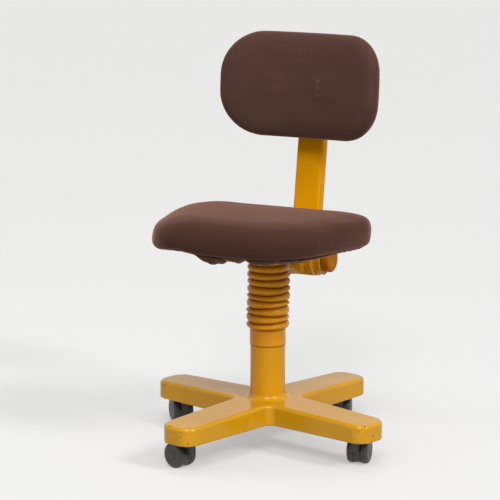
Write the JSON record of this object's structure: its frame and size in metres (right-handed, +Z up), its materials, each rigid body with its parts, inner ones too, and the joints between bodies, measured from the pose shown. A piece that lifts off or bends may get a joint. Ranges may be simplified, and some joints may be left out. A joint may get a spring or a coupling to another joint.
{
  "type": "swivel chair",
  "caption": "Low-backed swivel task chair: padded seat and backrest, painted column with a ribbed bellows, cross base on twin-wheel casters.",
  "frame": {"origin": "on the floor under the column's axis, at the middle of the base", "axes": "+Z up along the column; -Y is the chair's front; +X is to the right for someone facing the chair from its front"},
  "size_m": [0.5088, 0.5143, 0.7642],
  "materials": {
    "mustard_cast": "glossy mustard enamel over a cast base, with small chips at the arm ends",
    "mustard_paint": "glossy mustard enamel with small chips",
    "ochre_bellows": "satin ochre rubber",
    "charcoal_plastic": "satin charcoal",
    "brown_cloth": "matte brown stretch cloth over foam",
    "plywood": "bare plywood",
    "dark_shell": "dark brown moulded shell",
    "nylon": "natural nylon",
    "steel": "bright zinc steel"
  },
  "bodies": {
    "base": {"base": "mustard_cast", "column_tube": "mustard_paint", "guide_bush": "nylon", "piston_rod": "steel", "rod_nut": "steel", "caster_socket_front_right": "nylon", "caster_socket_rear_right": "nylon", "caster_socket_rear_left": "nylon", "caster_socket_front_left": "nylon"},
    "lift": {"lift_cylinder": "steel", "bellows_collar": "nylon", "thrust_washer": "nylon", "bellows": "ochre_bellows"},
    "release": {"release_pin": "steel"},
    "seat": {"seat_hub": "steel", "swivel_bush": "nylon", "seat_bracket": "mustard_paint", "seat_pan": "plywood", "seat_cushion": "brown_cloth", "seat_hem": "brown_cloth", "seat_bolt_front_left": "steel", "seat_bolt_front_right": "steel", "seat_bolt_rear_left": "steel", "seat_bolt_rear_right": "steel", "back_arm": "mustard_paint", "arm_bolt_left": "steel", "arm_bolt_right": "steel", "tilt_axle": "steel"},
    "lever": {"height_lever": "steel", "lever_grip": "charcoal_plastic"},
    "upright": {"back_upright": "mustard_paint", "upright_cap_upper": "charcoal_plastic", "upright_cap_lower": "charcoal_plastic"},
    "knob": {"tilt_knob": "mustard_paint"},
    "carrier": {"back_carrier": "mustard_paint", "pivot_pin": "steel"},
    "clamp": {"clamp_screw": "charcoal_plastic"},
    "backrest": {"back_plate": "mustard_paint", "back_shell": "dark_shell", "back_cushion": "brown_cloth"},
    "caster_front_right": {"caster_stem_front_right": "steel", "caster_hood_front_right": "charcoal_plastic", "caster_axle_front_right": "steel"},
    "wheel_front_right_left": {"caster_wheel_front_right_left": "charcoal_plastic"},
    "wheel_front_right_right": {"caster_wheel_front_right_right": "charcoal_plastic"},
    "caster_rear_right": {"caster_stem_rear_right": "steel", "caster_hood_rear_right": "charcoal_plastic", "caster_axle_rear_right": "steel"},
    "wheel_rear_right_left": {"caster_wheel_rear_right_left": "charcoal_plastic"},
    "wheel_rear_right_right": {"caster_wheel_rear_right_right": "charcoal_plastic"},
    "caster_rear_left": {"caster_stem_rear_left": "steel", "caster_hood_rear_left": "charcoal_plastic", "caster_axle_rear_left": "steel"},
    "wheel_rear_left_left": {"caster_wheel_rear_left_left": "charcoal_plastic"},
    "wheel_rear_left_right": {"caster_wheel_rear_left_right": "charcoal_plastic"},
    "caster_front_left": {"caster_stem_front_left": "steel", "caster_hood_front_left": "charcoal_plastic", "caster_axle_front_left": "steel"},
    "wheel_front_left_left": {"caster_wheel_front_left_left": "charcoal_plastic"},
    "wheel_front_left_right": {"caster_wheel_front_left_right": "charcoal_plastic"}
  },
  "joints": [
    {"name": "seat_height", "type": "slide", "parent": "base", "child": "lift", "axis": [0, 0, 1], "range_m": [-0.02, 0.09], "deforming": ["bellows"]},
    {"name": "seat_swivel", "type": "hinge", "parent": "lift", "child": "seat", "pos_m": [0, 0, 0.3704], "axis": [0, 0, 1], "continuous": true},
    {"name": "release_press", "type": "slide", "parent": "lift", "child": "release", "axis": [0, 0, -1], "range_m": [0, 0.0034]},
    {"name": "lever_lift", "type": "hinge", "parent": "seat", "child": "lever", "pos_m": [-0.0385, 0, 0.3887], "axis": [0, 1, 0], "range_deg": [0, 5], "stiffness_Nm_per_rad": 0.4, "springref_deg": -5.73},
    {"name": "back_tilt", "type": "hinge", "parent": "seat", "child": "upright", "pos_m": [0, 0.165, 0.332], "axis": [1, 0, 0], "range_deg": [-10, 8]},
    {"name": "knob_turn", "type": "hinge", "parent": "seat", "child": "knob", "pos_m": [0, 0.165, 0.332], "axis": [1, 0, 0], "range_deg": [-180, 180]},
    {"name": "back_slide", "type": "slide", "parent": "upright", "child": "carrier", "axis": [0, 0.1564, 0.9877], "range_m": [-0.04, 0.02]},
    {"name": "clamp_turn", "type": "hinge", "parent": "carrier", "child": "clamp", "pos_m": [0, 0.21662, 0.65794], "axis": [0, 0.9877, -0.1564], "range_deg": [-180, 180]},
    {"name": "backrest_pivot", "type": "hinge", "parent": "carrier", "child": "backrest", "pos_m": [0, 0.19381, 0.66155], "axis": [1, 0, 0], "range_deg": [-12, 7]},
    {"name": "swivel_front_right", "type": "hinge", "parent": "base", "child": "caster_front_right", "pos_m": [0.20708, -0.05782, 0.0523], "axis": [0, 0, 1], "continuous": true},
    {"name": "roll_front_right_left", "type": "hinge", "parent": "caster_front_right", "child": "wheel_front_right_left", "pos_m": [0.20293, -0.03164, 0.0245], "axis": [-0.9877, -0.1564, 0], "continuous": true},
    {"name": "roll_front_right_right", "type": "hinge", "parent": "caster_front_right", "child": "wheel_front_right_right", "pos_m": [0.20293, -0.03164, 0.0245], "axis": [-0.9877, -0.1564, 0], "continuous": true},
    {"name": "swivel_rear_right", "type": "hinge", "parent": "base", "child": "caster_rear_right", "pos_m": [0.05782, 0.20708, 0.0523], "axis": [0, 0, 1], "continuous": true},
    {"name": "roll_rear_right_left", "type": "hinge", "parent": "caster_rear_right", "child": "wheel_rear_right_left", "pos_m": [0.04963, 0.23228, 0.0245], "axis": [-0.9511, -0.309, 0], "continuous": true},
    {"name": "roll_rear_right_right", "type": "hinge", "parent": "caster_rear_right", "child": "wheel_rear_right_right", "pos_m": [0.04963, 0.23228, 0.0245], "axis": [-0.9511, -0.309, 0], "continuous": true},
    {"name": "swivel_rear_left", "type": "hinge", "parent": "base", "child": "caster_rear_left", "pos_m": [-0.20708, 0.05782, 0.0523], "axis": [0, 0, 1], "continuous": true},
    {"name": "roll_rear_left_left", "type": "hinge", "parent": "caster_rear_left", "child": "wheel_rear_left_left", "pos_m": [-0.22515, 0.0772, 0.0245], "axis": [-0.7314, -0.682, 0], "continuous": true},
    {"name": "roll_rear_left_right", "type": "hinge", "parent": "caster_rear_left", "child": "wheel_rear_left_right", "pos_m": [-0.22515, 0.0772, 0.0245], "axis": [-0.7314, -0.682, 0], "continuous": true},
    {"name": "swivel_front_left", "type": "hinge", "parent": "base", "child": "caster_front_left", "pos_m": [-0.05782, -0.20708, 0.0523], "axis": [0, 0, 1], "continuous": true},
    {"name": "roll_front_left_left", "type": "hinge", "parent": "caster_front_left", "child": "wheel_front_left_left", "pos_m": [-0.08287, -0.19845, 0.0245], "axis": [-0.3256, -0.9455, 0], "continuous": true},
    {"name": "roll_front_left_right", "type": "hinge", "parent": "caster_front_left", "child": "wheel_front_left_right", "pos_m": [-0.08287, -0.19845, 0.0245], "axis": [-0.3256, -0.9455, 0], "continuous": true}
  ],
  "couplings": [
    {"joint": "release_press", "follows": "lever_lift", "m_per_rad": 0.0385}
  ]
}
